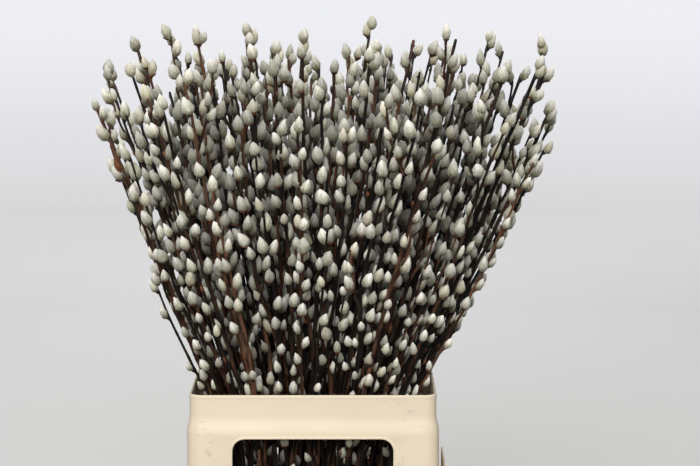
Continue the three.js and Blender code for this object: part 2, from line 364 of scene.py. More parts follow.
def grow_fillers(plans, add, all_but):
    """The thinner shoots, each beside a stem in a gap that is left."""
    for i, (forks, drops) in enumerate(zip(FILLER_FORKS, FILLER_DROPS)):
        for plan in plans:
            rng = np.random.default_rng([SEED, FILLER_STREAM, i, plan.number])
            fork = rng.uniform(*forks)
            high = plan.tip - rng.uniform(*drops)
            reach = rng.uniform(*FILLER_REACH)
            first_turn = rng.uniform(0, 2 * math.pi)
            add(place_shoot("filler", plan, fork, high, reach, first_turn, all_but(None)))


# ---- Mesh building ----


class Surface:
    """Vertices, faces and two vector attributes, gathered piece by piece for one object."""

    def __init__(self):
        self.points = []
        self.faces = []
        self.grain = []
        self.tone = []
        self.count = 0

    def add(self, points, faces, grain, tone):
        self.points.append(points)
        self.faces.extend((np.asarray(face) + self.count).tolist() for face in faces)
        self.grain.append(grain)
        self.tone.append(np.broadcast_to(tone, points.shape))
        self.count += len(points)

    def make(self, name, material, slot, nodes=()):
        """The object, from millimetres to metres, smooth and riding on the container."""
        mesh = bpy.data.meshes.new(name)
        mesh.from_pydata((np.concatenate(self.points) * MM).tolist(), [], self.faces)
        for label, values in (("grain", self.grain), ("tone", self.tone)):
            attribute = mesh.attributes.new(label, "FLOAT_VECTOR", "POINT")
            attribute.data.foreach_set("vector", np.concatenate(values).astype(np.float32).ravel())
        mesh.shade_smooth()
        return add_piece(name, mesh, material, nodes)


def add_piece(name, mesh, material, nodes=()):
    mesh.materials.append(material)
    piece = new_object(name, mesh)
    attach(piece, "root")
    if nodes:
        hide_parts(*nodes)
    return piece


def rings_faces(rings, sides, closed=False):
    """Quads between rings of points, from the first ring to the last, and back to the first if closed."""
    faces = []
    for i in range(rings if closed else rings - 1):
        here = i * sides
        following = (i + 1) % rings * sides
        for j in range(sides):
            k = (j + 1) % sides
            faces.append((here + j, here + k, following + k, following + j))
    return faces


def capped_faces(rings, sides):
    """The faces of a closed body: quads between its rings, and one face at each end."""
    faces = rings_faces(rings, sides)
    faces.append(tuple(range(sides - 1, -1, -1)))
    faces.append(tuple((rings - 1) * sides + j for j in range(sides)))
    return faces


def grain_round(turn, length):
    """The grain of a tube: the way round it as a unit circle, and the length along it in centimetres."""
    grain = np.broadcast_arrays(np.cos(turn)[None], np.sin(turn)[None], length / 10)
    return np.stack(grain, axis=-1).reshape(-1, 3)


def length_along(path):
    return np.concatenate([[0], np.cumsum(np.linalg.norm(np.diff(path, axis=0), axis=1))])


def frames_along(path):
    """For each point of a path: its direction and two directions across it that don't twist."""
    way = np.gradient(path, axis=0)
    way /= np.linalg.norm(way, axis=1, keepdims=True)
    side = np.cross(way, (0.0, 1.0, 0.0))
    side /= np.linalg.norm(side, axis=1, keepdims=True)
    return way, side, np.cross(way, side)


TIP_REACH = np.array([0.55, 0.85])  # the rings past a tube's end, in shares of its last radius
TIP_NARROWS = np.array([0.8, 0.4])


def tube(path, radii, sides):
    """A closed tube along a path, with a flat end at its root and a round one at its tip."""
    way, side, up = frames_along(path)
    path = np.concatenate([path, path[-1] + way[-1] * radii[-1] * TIP_REACH[:, None]])
    radii = np.concatenate([radii, radii[-1] * TIP_NARROWS])
    side = np.concatenate([side, side[-1:], side[-1:]])
    up = np.concatenate([up, up[-1:], up[-1:]])
    turn = turns_round(sides)
    ring = side[:, None, :] * np.cos(turn)[None, :, None] + up[:, None, :] * np.sin(turn)[None, :, None]
    points = path[:, None, :] + ring * radii[:, None, None]
    length = length_along(path)
    return points.reshape(-1, 3), capped_faces(len(path), sides), grain_round(turn, length[:, None])


# ---- Stalks with their nodes ----

NODE_SPACING = {"stem": 26.5, "shoot": 26.5, "filler": 26.5, "twig": 22.5}
SPACING_VARIES = (0.72, 1.28)
SIDES = {"stem": 10, "shoot": 8, "filler": 7, "twig": 7}
ZIGZAG = 0.8
ZIGZAG_VARIES = (0.5, 1.3)
ZIGZAG_FROM = 30  # length over which the zigzag sets in
NODE_SWELL = 0.45
NODE_LENGTH = 2.6
NODE_TURN_VARIES = 0.25
LOWEST_NODE = 10
THICKNESS = (0.84, 1.24)
STUB_SHARE = 0.5  # of the stalks end in a short bare tip instead of a catkin
STUB_LENGTH = (4.5, 9)
LAST_GAP = (11, 16)  # from the last node to the catkin at the tip
RING_STEP = 5.0
RING_STEP_INSIDE = 14.0
INSIDE_TOP = 300  # below this height a stalk has longer rings
TWIG_RINGS = 24
LOOK_ALONG = 3


def ring_values(item):
    """The values at which a stalk gets a ring of points."""
    if item.kind == "twig":
        return np.linspace(0, 1, TWIG_RINGS)
    outside = even_heights(max(item.low, INSIDE_TOP), item.high, RING_STEP)
    if item.low >= INSIDE_TOP - RING_STEP_INSIDE:
        return outside
    return np.concatenate([even_heights(item.low, INSIDE_TOP, RING_STEP_INSIDE)[:-1], outside])


def finish_stalk(item, index):
    """Adds a stalk's nodes, its zigzag path and its radii."""
    rng = np.random.default_rng([SEED, index, item.plan.number])
    path = item.points_at(ring_values(item))
    length = length_along(path)
    at = []
    item.stub = rng.random() < STUB_SHARE
    here = length[-1] - rng.uniform(*(STUB_LENGTH if item.stub else LAST_GAP))
    while here > LOWEST_NODE:
        at.append(here)
        here -= NODE_SPACING[item.kind] * rng.uniform(*SPACING_VARIES)
    at = np.array(at[::-1])
    turn = rng.uniform(0, 2 * math.pi) + np.arange(len(at)) * GOLDEN_ANGLE
    turn = turn + rng.normal(0, NODE_TURN_VARIES, len(at))
    shift = -ZIGZAG * rng.uniform(*ZIGZAG_VARIES, len(at))
    kinks = [np.interp(length, at, shift * part(turn), left=0) for part in (np.cos, np.sin)]
    kinks = np.stack([*kinks, np.zeros_like(length)], axis=-1)
    radii = in_range(RADII[item.kind], length / length[-1]) * rng.uniform(*THICKNESS)
    swell = np.exp(-(((length[:, None] - at[None, :]) / NODE_LENGTH) ** 2)).sum(axis=1)
    item.rng = rng
    item.path = path + kinks * smooth(length / ZIGZAG_FROM)[:, None]
    item.length = length
    item.radii_along = radii + NODE_SWELL * np.minimum(swell, 1)
    item.nodes = at
    item.turns = turn
    item.tone = (rng.random(), rng.random())


def on_stalk(item, at):
    """A stalk's middle, direction and radius at a distance from its root."""
    middle, ahead, behind = (
        np.array([np.interp(here, item.length, item.path[:, i]) for i in range(3)])
        for here in (at, at + LOOK_ALONG, at - LOOK_ALONG)
    )
    return middle, unit(ahead - behind), float(np.interp(at, item.length, item.radii_along))


def across(way, turn):
    """The direction at a right angle to way that points most nearly where turn does, seen from above."""
    out = np.array([math.cos(turn), math.sin(turn), 0.0])
    return unit(out - way * out.dot(way))


# ---- Catkins ----

# Radii at shares of the length, both from 0 at the base to 1.
PROFILES = {
    "egg": [(0, 0.26), (0.06, 0.56), (0.16, 0.84), (0.3, 0.99), (0.45, 1.0), (0.62, 0.88), (0.78, 0.64),
            (0.9, 0.36), (1, 0.04)],
    "drop": [(0, 0.26), (0.06, 0.6), (0.16, 0.88), (0.28, 1.0), (0.43, 0.96), (0.58, 0.8), (0.74, 0.56),
             (0.88, 0.28), (1, 0.03)],
    "spindle": [(0, 0.24), (0.08, 0.45), (0.2, 0.74), (0.38, 0.98), (0.52, 1.0), (0.68, 0.82), (0.82, 0.5),
                (0.92, 0.24), (1, 0.03)],
}
PROFILE_ORDER = ("egg", "drop", "egg", "spindle", "egg", "drop")
CATKIN_SIDES = 16
CATKIN_LEVELS = np.array([0, 0.04, 0.1, 0.18, 0.28, 0.39, 0.5, 0.61, 0.71, 0.8, 0.88, 0.94, 0.98])
TEMPLATES = 18
TEMPLATE_STREAM = 900
RIDGES = ((0.035, 3, 6), (0.03, 5, -9), (0.03, 2, 34))  # depth, waves round, turns along
RUFFLED = 2.6  # how much deeper the ridges of a ruffled catkin are
RUFFLED_EVERY = 9
TUFTS = 0.022
TUFTS_FROM = 0.2  # share of the length over which the tufts set in
BENT = 0.22
BEAK = 0.1  # how far aside the tip points
BEAK_FROM = 0.7
FLATNESS = (0.84, 1.0)
UNEVEN = 0.006

CATKIN_LENGTH = (15.5, 19.5)  # low in the bunch and high
GROW_BETWEEN = (400, 630)
LENGTH_VARIES = (0.82, 1.16)
CATKIN_WIDTH = (0.245, 0.335)  # widest radius, as a share of the length
CATKIN_LEAN = (14, 36)
TIP_LENGTH = (0.8, 1.05)
TIP_WIDTH = (0.27, 0.35)
TIP_LEAN = (4, 16)
UPWARD = np.array([0, 0, 0.5])
LOWEST_CATKIN = 262
CATKIN_CHANCE = (0.4, 0.86)  # that a node has one, low in the bunch and high
CHANCE_BETWEEN = (330, 450)
SEAT_OUT = 1.1  # from the bark to a catkin's base
SEAT_UP = 2.2  # from the node to a catkin's base
SEAT_TURNS = np.array([0, 0.5, -0.5, 1.0, -1.0, 1.7, -1.7, 2.5])
WIDEST_AT = 0.3
CENTRE_AT = 0.45
UPPER_BODY = 0.3  # from a catkin's centre to the middle of its upper part
CATKIN_CLEAR = 3.6
ROOMIER = 1.0
NEAR = 30  # difference in height up to which others count as neighbours
RIM_CLEAR = 3
# Painted light and shade on the catkins by their place in the bunch: darker deep inside it, lighter outside
# and near its top.
PAINTED_LIGHT_SHARE = 0.55  # how much of a catkin's painted light and shade its place decides; the rest is random tone
PAINTED_LIGHT_FROM = 0.58  # share of the bunch's half extent
PAINTED_LIGHT_TOP = 640


def catkin_template(index):
    """One catkin of length 1 and widest radius 1, standing on its base, with hairs in rows."""
    rng = np.random.default_rng([SEED, TEMPLATE_STREAM, index])
    stops = np.array(PROFILES[PROFILE_ORDER[index % len(PROFILE_ORDER)]])
    radius = np.interp(CATKIN_LEVELS, stops[:, 0], stops[:, 1])
    v, th = np.meshgrid(CATKIN_LEVELS, turns_round(CATKIN_SIDES), indexing="ij")
    ridges = sum(
        depth * np.sin(around * th + along * v + rng.uniform(0, 6)) for depth, around, along in RIDGES
    )
    tufts = rng.normal(0, TUFTS, v.shape)
    ruffle = RUFFLED if index % RUFFLED_EVERY == RUFFLED_EVERY // 2 else 1.0
    radius = radius[:, None] * (1 + ridges * ruffle + tufts * smooth(v / TUFTS_FROM))
    bend = rng.uniform(-BENT, BENT)
    beak_turn = rng.uniform(0, 2 * math.pi)
    beak = BEAK * smooth((v - BEAK_FROM) / (1 - BEAK_FROM))
    x = radius * np.cos(th) + bend * v**2 + beak * math.cos(beak_turn)
    y = radius * np.sin(th) * rng.uniform(*FLATNESS) + beak * math.sin(beak_turn)
    z = v + rng.normal(0, UNEVEN, v.shape)
    points = np.stack([x, y, z], axis=-1).reshape(-1, 3)
    grain = np.stack([np.cos(th), np.sin(th), v], axis=-1).reshape(-1, 3)
    faces = rings_faces(len(CATKIN_LEVELS), CATKIN_SIDES)
    faces.append(tuple(range(CATKIN_SIDES - 1, -1, -1)))
    last = (len(CATKIN_LEVELS) - 1) * CATKIN_SIDES
    tip = len(points)
    faces.extend((last + j, last + (j + 1) % CATKIN_SIDES, tip) for j in range(CATKIN_SIDES))
    points = np.concatenate([points, [[x[-1].mean(), y[-1].mean(), 1.0]]])
    grain = np.concatenate([grain, [[0, 0, 1.0]]])
    return SimpleNamespace(points=points, faces=faces, grain=grain)


def orient(points, base, way, roll, width, length):
    """Template points turned so that +Z lies along way, scaled, and moved to base."""
    side = unit(np.cross(way, (0.31, 0.95, 0.02)))
    other = np.cross(way, side)
    a = side * math.cos(roll) + other * math.sin(roll)
    b = np.cross(way, a)
    placed = base + np.outer(points[:, 0] * width, a) + np.outer(points[:, 1] * width, b)
    return placed + np.outer(points[:, 2] * length, way)


def touches_wall(point, room):
    """Whether a point in millimetres, with room round it, reaches the container's wall."""
    inside = np.array([COLLAR_HIGH.x, COLLAR_HIGH.y]) / MM - STEP_OUT - WALL - room
    return point[2] < RIM + RIM_CLEAR and bool(np.any(np.abs(point[:2]) > inside))


def painted_light_at(point, share):
    """A catkin's painted light and shade, 0 to 1: painted light most where light reaches, outside and at the
    top of the bunch, and painted shade deep inside it, mixed with a random share.
    """
    z = point[2]
    across_x = (point[0] - DRIFT * max(0, z - RIM)) / spread_at(0, z)
    across_y = point[1] / spread_at(1, z)
    out = (across_x**SQUARENESS + across_y**SQUARENESS) ** (1 / SQUARENESS)
    lit = max(rise(out, PAINTED_LIGHT_FROM, 1), rise(z, PAINTED_LIGHT_TOP, TIP_HEIGHT))
    return (1 - PAINTED_LIGHT_SHARE) * share + PAINTED_LIGHT_SHARE * lit


def new_catkin(rng, base, way, out, at, turn, length, width, lit_at):
    """A catkin on a stalk. It points along way, and out is the side that faces away from the stalk."""
    return SimpleNamespace(
        base=base, way=way, out=out, at=at, turn=turn, length=length, width=width, seed=rng.random(),
        roll=rng.uniform(0, 2 * math.pi), template=rng.integers(TEMPLATES), warm=rng.random(),
        # light is the catkin's painted light and shade, from its place in the bunch and a random share.
        light=painted_light_at(lit_at, rng.random()), scale=rng.random(),
    )


def roomiest_seat(item, at, first_turn, length, width, near):
    """The seat round a node with the most room: (room, base, direction, way out, turn, centre), or None."""
    middle, way, radius = on_stalk(item, at)
    lean = math.radians(item.rng.uniform(*CATKIN_LEAN))
    best = None
    for turn in first_turn + SEAT_TURNS:
        out = across(way, turn)
        base = middle + out * (radius + SEAT_OUT) + way * SEAT_UP
        points_to = unit(way * math.cos(lean) + out * math.sin(lean) + UPWARD)
        end = base + points_to * length
        if touches_wall(base + points_to * length * WIDEST_AT, width) or touches_wall(end, 0):
            continue
        centre = base + points_to * length * CENTRE_AT
        room = np.linalg.norm(near - centre, axis=1).min() if len(near) else NEAR
        if best is None or room > best[0] + ROOMIER:
            best = (room, base, points_to, out, turn, centre)
    return best


def seat_catkin(item, at, first_turn, others, placed):
    """The catkin on a node and its centre, or None where the node stays bare."""
    height = on_stalk(item, at)[0][2]
    rng = item.rng
    if height < LOWEST_CATKIN or rng.random() > in_range(CATKIN_CHANCE, rise(height, *CHANCE_BETWEEN)):
        return None
    length = in_range(CATKIN_LENGTH, rise(height, *GROW_BETWEEN)) * rng.uniform(*LENGTH_VARIES)
    width = length * rng.uniform(*CATKIN_WIDTH)
    near = np.concatenate([points[np.abs(points[:, 2] - height) < NEAR] for points in (others, placed)])
    seat = roomiest_seat(item, at, first_turn, length, width, near)
    if seat is None or seat[0] < CATKIN_CLEAR:
        return None
    base, points_to, out, turn, centre = seat[1:]
    return new_catkin(rng, base, points_to, out, at, turn, length, width, centre), centre


def tip_catkin(item):
    """The catkin that ends a stalk."""
    rng = item.rng
    at = item.length[-1]
    end, way = on_stalk(item, at)[:2]
    length = CATKIN_LENGTH[1] * rng.uniform(*TIP_LENGTH)
    turn = item.turns[-1] + math.pi
    out = across(way, turn)
    lean = math.radians(rng.uniform(*TIP_LEAN))
    width = length * rng.uniform(*TIP_WIDTH)
    points_to = way * math.cos(lean) + out * math.sin(lean)
    return new_catkin(rng, end - way * 3 + out * 0.8, points_to, out, at, turn, length, width, end)


def plan_catkins(stalks):
    """Gives each stalk its list of catkins and its list of bare nodes."""
    taken = np.concatenate([item.path[::3] for item in stalks])
    owner = np.concatenate([np.full(len(item.path[::3]), i) for i, item in enumerate(stalks)])
    high_enough = taken[:, 2] > LOWEST_CATKIN - NEAR
    taken = taken[high_enough]
    owner = owner[high_enough]
    placed = np.zeros((0, 3))
    for index, item in enumerate(stalks):
        item.catkins = []
        item.bare = []
        others = taken[owner != index]
        for at, turn in zip(item.nodes, item.turns):
            seated = seat_catkin(item, at, turn, others, placed)
            if seated is None:
                item.bare.append((at, turn))
                continue
            catkin, centre = seated
            item.catkins.append(catkin)
            placed = np.concatenate([placed, [centre, centre + catkin.way * catkin.length * UPPER_BODY]])
        if not item.stub:
            item.catkins.append(tip_catkin(item))


# ---- Bud scales, buds and the cushions under them ----

SCALE_SHARE = 0.42  # of the catkins still have their scale
CLOSED_SHARE = 0.006
BUD_SHARE = 0.3  # of the bare nodes have a bud
SCALE_GRID = (5, 5)  # points up and across a scale
SCALE_LOW = -0.03  # shares of the catkin's length
SCALE_TOP = (0.2, 0.36)
SCALE_HALF_TURN = np.array([0.75, 1.25, 1.3, 0.95, 0.12])
CATKIN_BODY = [-0.03, 0.06, 0.16, 0.3, 0.45], [0.3, 0.62, 0.9, 1.03, 1.05]
SCALE_LIFTS = (0.16, 0.5)  # of its inner and outer face from the catkin
SCALE_FLARE = 0.5
# Profiles of (share of the length, radius).
CUSHION = ((0.45, 1.75), (0.8, 1.6), (1.06, 1.05))
BUD = [(0, 0.9), (0.18, 1.6), (0.42, 1.85), (0.7, 1.3), (0.9, 0.55), (1, 0.12)]
CLOSED_CATKIN = [(0, 1.2), (0.1, 2.3), (0.3, 3.3), (0.5, 3.4), (0.72, 2.5), (0.9, 1.1), (1, 0.15)]
BUD_LENGTH = (5.5, 9.5)
BUD_LEAN = (3, 12)
BUD_SEAT = (0.4, 0.6)  # out from the bark and up from the node
KNOB_SEAT = (0.7, 0.8)
CUSHION_ROOT = 0.75  # share of the stalk's radius
CUSHION_SEAT = (0.35, -1.2)  # share of the radius out from the stalk's middle, and millimetres up
SCAR_BELOW = (0.15, 0.5)  # where a cushion's underside turns to scar, and over what range
BUD_SIDES = 8
CLOSED_SIDES = 10


def add_scale(surface, catkin):
    """The bud scale that clasps the outer side of a catkin's base: a thin curved closed leaf."""
    rows, columns = SCALE_GRID
    v = np.linspace(SCALE_LOW, in_range(SCALE_TOP, catkin.scale), rows)
    spread = SCALE_HALF_TURN * (0.75 + 0.4 * catkin.seed)
    body = np.interp(v, *CATKIN_BODY)
    side = unit(np.cross(catkin.way, catkin.out))
    front = np.cross(side, catkin.way)
    layers = []
    for lift in SCALE_LIFTS:
        for i in range(rows):
            turn = np.linspace(-spread[i], spread[i], columns)
            radius = body[i] * catkin.width + lift + SCALE_FLARE * v[i]
            row = catkin.base + catkin.way * v[i] * catkin.length + np.outer(np.cos(turn) * radius, front)
            layers.append(row + np.outer(np.sin(turn) * radius, side))
    points = np.concatenate(layers)
    count = rows * columns
    faces = []
    for i in range(rows - 1):
        for j in range(columns - 1):
            a = i * columns + j
            quad = (a, a + 1, a + columns + 1, a + columns)
            faces.append(quad[::-1])
            faces.append(tuple(count + p for p in quad))
    edge = list(range(columns)) + [i * columns + columns - 1 for i in range(1, rows)]
    edge += [(rows - 1) * columns + j for j in range(columns - 2, -1, -1)]
    edge += [i * columns for i in range(rows - 2, 0, -1)]
    for a, b in zip(edge, edge[1:] + edge[:1]):
        faces.append((a, b, count + b, count + a))
    grain = np.stack(np.meshgrid(v * 3, np.linspace(-1, 1, columns), [0.0], indexing="ij"), -1)
    grain = np.tile(grain.reshape(-1, 3), (2, 1))
    surface.add(points, faces, grain, (catkin.seed, catkin.warm, 1))


def spindle(base, way, profile, length, sides):
    """A closed pointed body along way: profile is (share of length, radius) from its base to its tip."""
    stops = np.array(profile)
    path = base + np.outer(stops[:, 0] * length, way)
    side = unit(np.cross(way, (0.2, 0.97, 0.1)))
    other = np.cross(way, side)
    turn = turns_round(sides)
    ring = np.outer(np.cos(turn), side) + np.outer(np.sin(turn), other)
    points = path[:, None, :] + ring[None] * stops[:, 1][:, None, None]
    return points.reshape(-1, 3), capped_faces(len(stops), sides), grain_round(turn, stops[:, :1] * length)


def add_cushion(surface, item, at, turn, towards, reach):
    """The knob on a node that a catkin or bud sits on. Its underside is the pale leaf scar."""
    middle, way, radius = on_stalk(item, at)
    start = middle + across(way, turn) * radius * CUSHION_SEAT[0] + way * CUSHION_SEAT[1]
    length = np.linalg.norm(towards - start)
    profile = [(0, radius * CUSHION_ROOT), *[(share, wide * reach) for share, wide in CUSHION]]
    points, faces, grain = spindle(start, (towards - start) / length, profile, length, BUD_SIDES)
    low = ((points - start) @ way) / (np.linalg.norm(points - start, axis=1) + 0.1)
    tone = np.tile((*item.tone, 0.0), (len(points), 1))
    tone[:, 2] = smooth((SCAR_BELOW[0] - low) / SCAR_BELOW[1])
    surface.add(points, faces, grain, tone)


def add_bud(surface, item, at, turn):
    """A closed bud, pressed against the stalk."""
    middle, way, radius = on_stalk(item, at)
    out = across(way, turn)
    rng = item.rng
    length = rng.uniform(*BUD_LENGTH)
    base = middle + out * (radius + BUD_SEAT[0]) + way * BUD_SEAT[1]
    lean = math.radians(rng.uniform(*BUD_LEAN))
    direction = way * math.cos(lean) + out * math.sin(lean)
    surface.add(*spindle(base, direction, BUD, length, BUD_SIDES), (rng.random(), rng.random(), 1))


def add_closed_catkin(surface, catkin):
    """A catkin that is still inside its scale."""
    shape = spindle(catkin.base, catkin.way, CLOSED_CATKIN, catkin.length * 0.95, CLOSED_SIDES)
    surface.add(*shape, (0.9, catkin.warm, 1))


# ---- Materials ----


def fill_inputs(tree, target, values):
    """Gives each named input of a node a socket to read or a value of its own."""
    for label, value in values.items():
        if isinstance(value, bpy.types.NodeSocket):
            tree.links.new(value, target.inputs[label])
        else:
            target.inputs[label].default_value = value


def material(name, values):
    """A new material, its node tree and its shader, with values on the shader's own sockets."""
    made = bpy.data.materials.new(name)
    made.use_nodes = True
    shader = made.node_tree.nodes["Principled BSDF"]
    fill_inputs(made.node_tree, shader, values)
    return made, made.node_tree, shader


def node(tree, kind, values, **settings):
    """A new node with its settings and its inputs."""
    made = tree.nodes.new(kind)
    for key, value in settings.items():
        setattr(made, key, value)
    fill_inputs(tree, made, values)
    return made


def attribute(tree, name):
    return node(tree, "ShaderNodeAttribute", {}, attribute_name=name).outputs["Vector"]


def parts_of(tree, vector):
    return node(tree, "ShaderNodeSeparateXYZ", {"Vector": vector}).outputs


def math_node(tree, operation, a, b):
    return node(tree, "ShaderNodeMath", {0: a, 1: b}, operation=operation).outputs[0]


def scaled(tree, vector, scale):
    return node(tree, "ShaderNodeVectorMath", {0: vector, 1: scale}, operation="MULTIPLY").outputs[0]


def stretched(tree, vector, scale, offset):
    """vector scaled by different amounts along its three directions, and moved by offset."""
    made = scaled(tree, vector, scale)
    return node(tree, "ShaderNodeVectorMath", {0: made, 1: offset}, operation="ADD").outputs[0]


def ramp(tree, value, stops):
    made = node(tree, "ShaderNodeValToRGB", {"Fac": value})
    elements = made.color_ramp.elements
    while len(elements) < len(stops):
        elements.new(0.5)
    for element, (position, colour) in zip(elements, stops):
        element.position = position
        element.color = (*colour, 1)
    return made.outputs["Color"]


MIX_FACTOR, MIX_A, MIX_B, MIX_RESULT = 0, 6, 7, 2  # the mix node's sockets for colours


def mix(tree, share, a, b, blend="MIX"):
    values = {MIX_FACTOR: share}
    for label, value in ((MIX_A, a), (MIX_B, b)):
        values[label] = (*value, 1) if isinstance(value, tuple) else value
    return node(tree, "ShaderNodeMix", values, data_type="RGBA", blend_type=blend).outputs[MIX_RESULT]


def shaded(tree, colour, shade):
    """colour made darker or lighter by a factor."""
    values = {"Red": shade, "Green": shade, "Blue": shade}
    return mix(tree, 1.0, colour, node(tree, "ShaderNodeCombineColor", values).outputs["Color"], "MULTIPLY")


def noise(tree, vector, scale, detail=3.0, roughness=0.5):
    values = {"Vector": vector, "Scale": scale, "Detail": detail, "Roughness": roughness}
    return node(tree, "ShaderNodeTexNoise", values).outputs["Fac"]


def between(tree, value, low, high, to_low=0.0, to_high=1.0):
    values = {"Value": value, "From Min": low, "From Max": high, "To Min": to_low, "To Max": to_high}
    return node(tree, "ShaderNodeMapRange", values).outputs["Result"]


def bump(tree, height, strength, distance):
    values = {"Height": height, "Strength": strength, "Distance": distance}
    return node(tree, "ShaderNodeBump", values).outputs["Normal"]


def grown_material(name, values, seed_scale):
    """A material with its grain, the parts of its tone, and an offset that differs from piece to piece."""
    made, tree, shader = material(name, values)
    tone = attribute(tree, "tone")
    return made, tree, shader, attribute(tree, "grain"), parts_of(tree, tone), scaled(tree, tone, seed_scale)


def catkin_material():
    """Silky grey-white hairs that lie towards the tip, greener and darker where they part at the base; the
    dark base is partly painted shade, the white tip partly a painted highlight, and each catkin gets painted
    light and shade by its place in the bunch.
    """
    values = {"Roughness": 0.62, "Sheen Weight": 0.6, "Sheen Roughness": 0.35}
    made, tree, shader, grain, tone, seed = grown_material("catkin", values, (37, 23, 51))
    hairs = noise(tree, stretched(tree, grain, (7, 7, 2.2), seed), 2.6, 4, 0.6)
    clumps = noise(tree, stretched(tree, grain, (2, 2, 2.4), seed), 1.6, 2)
    parting = between(tree, clumps, 0.3, 0.7, -0.16, 0.16)
    # From base to tip the colour runs from dark green-khaki to white: the catkin's own colour, with painted
    # shade at the base and a painted highlight at the tip.
    colour = ramp(tree, math_node(tree, "ADD", parts_of(tree, grain)["Z"], parting), [
        (0.0, (0.085, 0.072, 0.034)),
        (0.16, (0.195, 0.182, 0.105)),
        (0.38, (0.38, 0.365, 0.27)),
        (0.64, (0.61, 0.585, 0.485)),
        (1.0, (0.90, 0.875, 0.80)),
    ])
    colour = mix(tree, between(tree, tone["Y"], 0.8, 1.0, 0.0, 0.5), colour, (0.56, 0.49, 0.29))
    colour = mix(tree, between(tree, tone["Y"], 0.25, 0.0, 0.0, 0.45), colour, (0.30, 0.32, 0.19))
    # Painted light and shade: a catkin deep in the bunch is made darker, one outside or at the top lighter,
    # mixed with a random tone.
    light = between(tree, tone["Z"], 0.0, 1.0, 0.2, 1.34)
    streaks = between(tree, hairs, 0.3, 0.7, 0.78, 1.12)
    colour = shaded(tree, colour, math_node(tree, "MULTIPLY", light, streaks))
    fill_inputs(tree, shader, {"Base Color": colour, "Normal": bump(tree, hairs, 0.55, 0.0006)})
    return made


def bark_material():
    """Satin willow bark: dark brown with red and olive stretches, pale pores and tan leaf scars."""
    values = {"Specular IOR Level": 0.24}
    made, tree, shader, grain, tone, seed = grown_material("bark", values, (31, 17, 0))
    stretch = noise(tree, stretched(tree, grain, (0.35, 0.35, 0.3), seed), 1.6, 3)
    fibres = noise(tree, stretched(tree, grain, (5, 5, 0.5), seed), 2.0, 4, 0.65)
    colour = ramp(tree, math_node(tree, "ADD", stretch, between(tree, tone["Y"], 0, 1, -0.2, 0.3)), [
        (0.34, (0.0065, 0.005, 0.0042)),
        (0.52, (0.0155, 0.0095, 0.007)),
        (0.66, (0.050, 0.021, 0.012)),
        (0.84, (0.150, 0.070, 0.038)),
    ])
    olive = noise(tree, stretched(tree, grain, (0.2, 0.2, 0.12), seed), 2.3, 2)
    colour = mix(tree, between(tree, olive, 0.56, 0.72, 0, 0.7), colour, (0.038, 0.033, 0.021))
    colour = shaded(tree, colour, between(tree, fibres, 0.3, 0.7, 0.68, 1.25))
    pores_at = stretched(tree, grain, (3.2, 3.2, 5.0), seed)
    pores = node(tree, "ShaderNodeTexVoronoi", {"Vector": pores_at, "Scale": 1.0}).outputs["Distance"]
    pores = between(tree, pores, 0.16, 0.08)
    colour = mix(tree, math_node(tree, "MULTIPLY", pores, 0.7), colour, (0.15, 0.09, 0.05))
    colour = mix(tree, math_node(tree, "MULTIPLY", tone["Z"], 0.75), colour, (0.22, 0.13, 0.07))
    height = math_node(tree, "ADD", fibres, math_node(tree, "MULTIPLY", pores, 0.8))
    roughness = between(tree, fibres, 0.3, 0.7, 0.34, 0.56)
    normal = bump(tree, height, 0.5, 0.0003)
    fill_inputs(tree, shader, {"Base Color": colour, "Roughness": roughness, "Normal": normal})
    return made


def scale_material():
    """Glossy red-brown bud scales, mottled, and darker or redder from one scale to the next."""
    made, tree, shader, grain, tone, seed = grown_material("bud_scale", {"Roughness": 0.34}, (19, 29, 0))
    mottle = noise(tree, stretched(tree, grain, (3, 3, 1.5), seed), 1.5, 4)
    age = between(tree, tone["X"], 0, 1, -0.25, 0.25)
    colour = ramp(tree, math_node(tree, "ADD", mottle, age), [
        (0.3, (0.022, 0.010, 0.006)),
        (0.55, (0.085, 0.028, 0.012)),
        (0.8, (0.24, 0.085, 0.030)),
    ])
    fill_inputs(tree, shader, {"Base Color": colour, "Normal": bump(tree, mottle, 0.3, 0.0003)})
    return made


CREAM = (0.845, 0.72, 0.535)
DARKER_CREAM = (0.74, 0.62, 0.44)
SCUFF_PLACE = (-0.116, -0.118, 0.318)  # where the collar's front has been knocked most
SCUFF_REACH = (0.016, 0.006)


def plastic_material(name, tint):
    """Cream moulded plastic that has been used: fine grain, faint grime and scuffs."""
    made, tree, shader = material(name, {})
    place = node(tree, "ShaderNodeTexCoord", {}).outputs["Object"]
    grime = noise(tree, place, 9, 5, 0.6)
    marks = noise(tree, scaled(tree, place, (90, 90, 150)), 1.0, 6, 0.7)
    where = noise(tree, place, 22, 2)
    grain = noise(tree, place, 900, 2)
    colour = mix(tree, between(tree, grime, 0.35, 0.7, 0, 0.5), tint, tuple(c * 0.9 for c in tint))
    knocked = node(tree, "ShaderNodeVectorMath", {0: place, 1: SCUFF_PLACE}, operation="DISTANCE")
    knocked = between(tree, knocked.outputs["Value"], *SCUFF_REACH)
    here = math_node(tree, "MAXIMUM", between(tree, where, 0.62, 0.7), knocked)
    scuffs = math_node(tree, "MULTIPLY", between(tree, marks, 0.56, 0.64), here)
    colour = mix(tree, math_node(tree, "MULTIPLY", scuffs, 0.4), colour, (0.33, 0.28, 0.23))
    roughness = between(tree, grime, 0.3, 0.7, 0.44, 0.58)
    height = math_node(tree, "ADD", math_node(tree, "MULTIPLY", grime, 2.0), grain)
    normal = bump(tree, height, 0.18, 0.0004)
    fill_inputs(tree, shader, {"Base Color": colour, "Roughness": roughness, "Normal": normal})
    return made


# ---- Container ----

